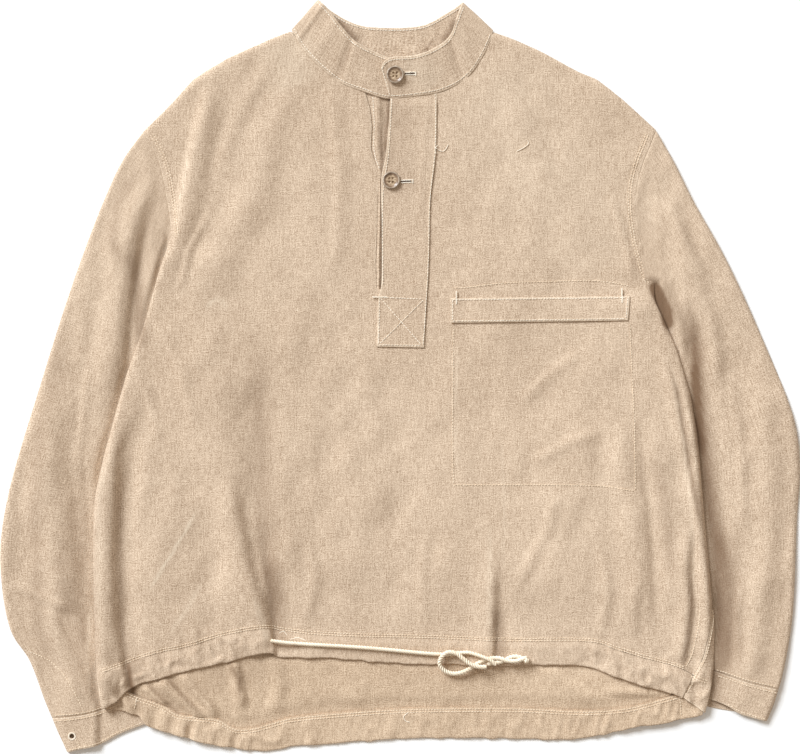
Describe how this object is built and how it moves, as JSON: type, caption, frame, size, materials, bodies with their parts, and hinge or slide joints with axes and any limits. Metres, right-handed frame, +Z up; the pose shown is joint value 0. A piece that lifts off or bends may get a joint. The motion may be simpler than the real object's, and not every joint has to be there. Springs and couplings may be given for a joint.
{
  "type": "work smock laid flat",
  "caption": "Long-sleeved linen pull-over smock with band collar, half placket, welt pocket, drop-tail hem and drawstring, laid flat.",
  "frame": {"origin": "on the surface that the smock lies on, under the middle of its outline", "axes": "+Z up from the surface, +Y from hem to collar, +X to the viewer's right, which is the wearer's left"},
  "size_m": [0.8227, 0.7745, 0.0153],
  "materials": {
    "linen": "matt slubby linen, oatmeal",
    "linen_inside": "matt slubby linen, oatmeal, the cloth's inner face",
    "cord": "twisted cream cotton",
    "button": "polished grey-brown horn"
  },
  "bodies": {
    "root": {"back": "linen_inside", "front": "linen", "sleeve_left": "linen", "sleeve_right": "linen", "cuff_left": "linen", "cuff_right": "linen", "collar_band": "linen", "placket_over": "linen", "placket_under": "linen", "pocket_welt": "linen", "pocket_bag": "linen", "front_hem_casing": "linen", "back_hem_casing": "linen_inside", "button_collar": "button", "button_placket": "button", "drawstring_left": "cord", "drawstring_right": "cord", "drawstring_end": "cord"}
  },
  "joints": []
}
